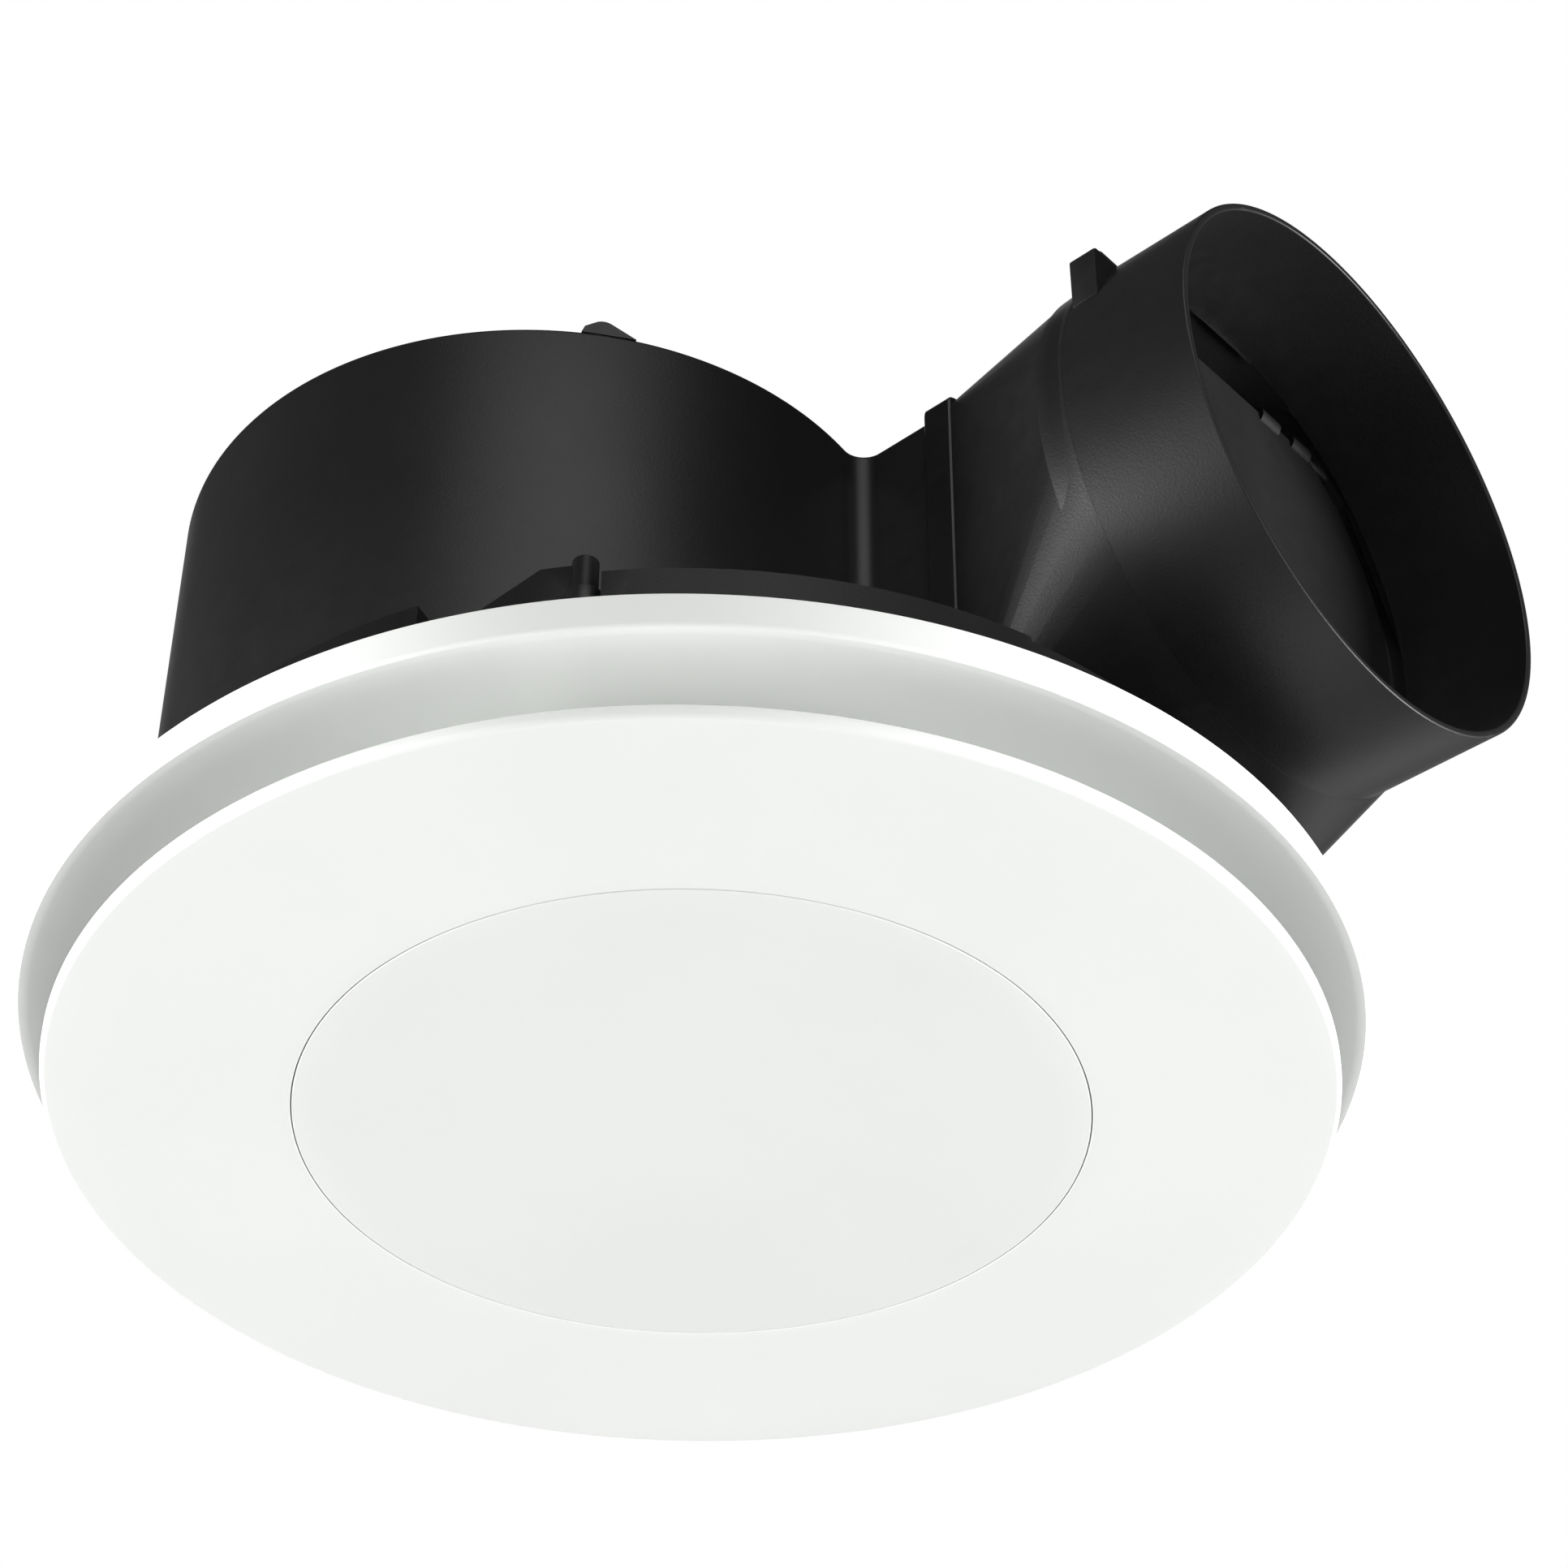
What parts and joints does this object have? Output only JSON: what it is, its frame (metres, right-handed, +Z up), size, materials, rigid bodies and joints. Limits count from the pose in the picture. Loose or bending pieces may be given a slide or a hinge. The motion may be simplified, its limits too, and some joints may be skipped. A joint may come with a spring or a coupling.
{
  "type": "bathroom extractor fan",
  "caption": "Round ceiling extractor fan with a hanging disc and flush light, a black scroll casing above the ceiling and a side duct spigot with a backdraft flap.",
  "frame": {"origin": "centre of the ceiling ring, in the plane of the ceiling's underside", "axes": "+Z up into the ceiling void, +X to the right and +Y away when the clamp bay between the duct and the round front faces the viewer; the duct leaves at 41.9 degrees from +X towards -Y"},
  "size_m": [0.3871, 0.34, 0.2042],
  "materials": {
    "black_plastic": "satin moulded ABS",
    "grey_plastic": "moulded, slightly rough",
    "white_plastic": "smooth satin moulding",
    "opal_diffuser": "opal acrylic, soft",
    "steel": "zinc plated",
    "motor_casing": "cast and pressed, satin",
    "lamination_steel": "stacked laminations",
    "copper_winding": "enamelled copper",
    "brass": "turned",
    "rubber": "matte",
    "lead_sheath": "PVC sheath",
    "circuit_board": "white solder mask"
  },
  "bodies": {
    "casing": {"base_tray": "black_plastic", "scroll_housing": "black_plastic", "housing_screws": "steel", "inlet_bellmouth": "black_plastic", "bellmouth_screws": "steel", "duct_adaptor": "black_plastic", "adaptor_screws": "steel", "flap_hinge_pin": "steel", "lower_motor_shell": "motor_casing", "upper_motor_shell": "motor_casing", "motor_screws": "steel", "motor_mounts": "rubber", "stator_core": "lamination_steel", "motor_windings": "copper_winding", "lower_bearing": "steel", "upper_bearing": "steel", "terminal_box": "black_plastic", "terminal_cover": "black_plastic", "cover_screws": "steel", "terminal_block": "white_plastic", "run_capacitor": "white_plastic", "cable_gland": "black_plastic", "motor_lead": "lead_sheath", "lead_grommets": "rubber", "post_clips": "steel"},
    "rotor": {"impeller": "grey_plastic", "impeller_nut": "steel", "motor_shaft": "steel", "rotor_core": "lamination_steel"},
    "fascia": {"ceiling_ring": "white_plastic", "fascia_disc": "white_plastic", "light_diffuser": "opal_diffuser", "led_board": "circuit_board", "light_pan": "motor_casing", "led_driver": "white_plastic", "light_screws": "steel", "fascia_posts": "white_plastic"},
    "colour_switch": {"colour_switch": "black_plastic"},
    "flap": {"backdraft_flap": "grey_plastic"},
    "clamp_screw_1": {"clamp_screw_1": "steel"},
    "clamp_nut_1": {"clamp_nut_1": "brass"},
    "clamp_wing_1": {"clamp_wing_1": "black_plastic"},
    "clamp_screw_2": {"clamp_screw_2": "steel"},
    "clamp_nut_2": {"clamp_nut_2": "brass"},
    "clamp_wing_2": {"clamp_wing_2": "black_plastic"},
    "clamp_screw_3": {"clamp_screw_3": "steel"},
    "clamp_nut_3": {"clamp_nut_3": "brass"},
    "clamp_wing_3": {"clamp_wing_3": "black_plastic"}
  },
  "joints": [
    {"name": "impeller_spin", "type": "hinge", "parent": "casing", "child": "rotor", "pos_m": [-0.0447, -0.0017, 0.08], "axis": [0, 0, -1], "continuous": true},
    {"name": "fascia_pull", "type": "slide", "parent": "casing", "child": "fascia", "axis": [0, 0, -1], "range_m": [0, 0.04]},
    {"name": "colour_select", "type": "slide", "parent": "fascia", "child": "colour_switch", "axis": [1, 0, 0], "range_m": [-0.004, 0.004]},
    {"name": "flap_swing", "type": "hinge", "parent": "casing", "child": "flap", "pos_m": [0.13737, -0.08029, 0.1554], "axis": [-0.6678, -0.7443, 0], "range_deg": [0, 50]},
    {"name": "clamp_1_screw", "type": "hinge", "parent": "casing", "child": "clamp_screw_1", "pos_m": [-0.02332, -0.1424, 0.018], "axis": [0, 0, 1], "range_deg": [0, 1800]},
    {"name": "clamp_1_travel", "type": "slide", "parent": "casing", "child": "clamp_nut_1", "axis": [0, 0, -1], "range_m": [0, 0.01001]},
    {"name": "clamp_1_swing", "type": "hinge", "parent": "clamp_nut_1", "child": "clamp_wing_1", "pos_m": [-0.02332, -0.1424, 0.018], "axis": [0, 0, 1], "range_deg": [0, 90]},
    {"name": "clamp_2_screw", "type": "hinge", "parent": "casing", "child": "clamp_screw_2", "pos_m": [0.13498, 0.05101, 0.018], "axis": [0, 0, 1], "range_deg": [0, 1800]},
    {"name": "clamp_2_travel", "type": "slide", "parent": "casing", "child": "clamp_nut_2", "axis": [0, 0, -1], "range_m": [0, 0.01001]},
    {"name": "clamp_2_swing", "type": "hinge", "parent": "clamp_nut_2", "child": "clamp_wing_2", "pos_m": [0.13498, 0.05101, 0.018], "axis": [0, 0, 1], "range_deg": [0, 90]},
    {"name": "clamp_3_screw", "type": "hinge", "parent": "casing", "child": "clamp_screw_3", "pos_m": [-0.11167, 0.0914, 0.018], "axis": [0, 0, 1], "range_deg": [0, 1800]},
    {"name": "clamp_3_travel", "type": "slide", "parent": "casing", "child": "clamp_nut_3", "axis": [0, 0, -1], "range_m": [0, 0.01001]},
    {"name": "clamp_3_swing", "type": "hinge", "parent": "clamp_nut_3", "child": "clamp_wing_3", "pos_m": [-0.11167, 0.0914, 0.018], "axis": [0, 0, 1], "range_deg": [0, 90]}
  ],
  "couplings": [
    {"joint": "clamp_1_travel", "follows": "clamp_1_screw", "m_per_rad": 0.00031831},
    {"joint": "clamp_2_travel", "follows": "clamp_2_screw", "m_per_rad": 0.00031831},
    {"joint": "clamp_3_travel", "follows": "clamp_3_screw", "m_per_rad": 0.00031831}
  ]
}
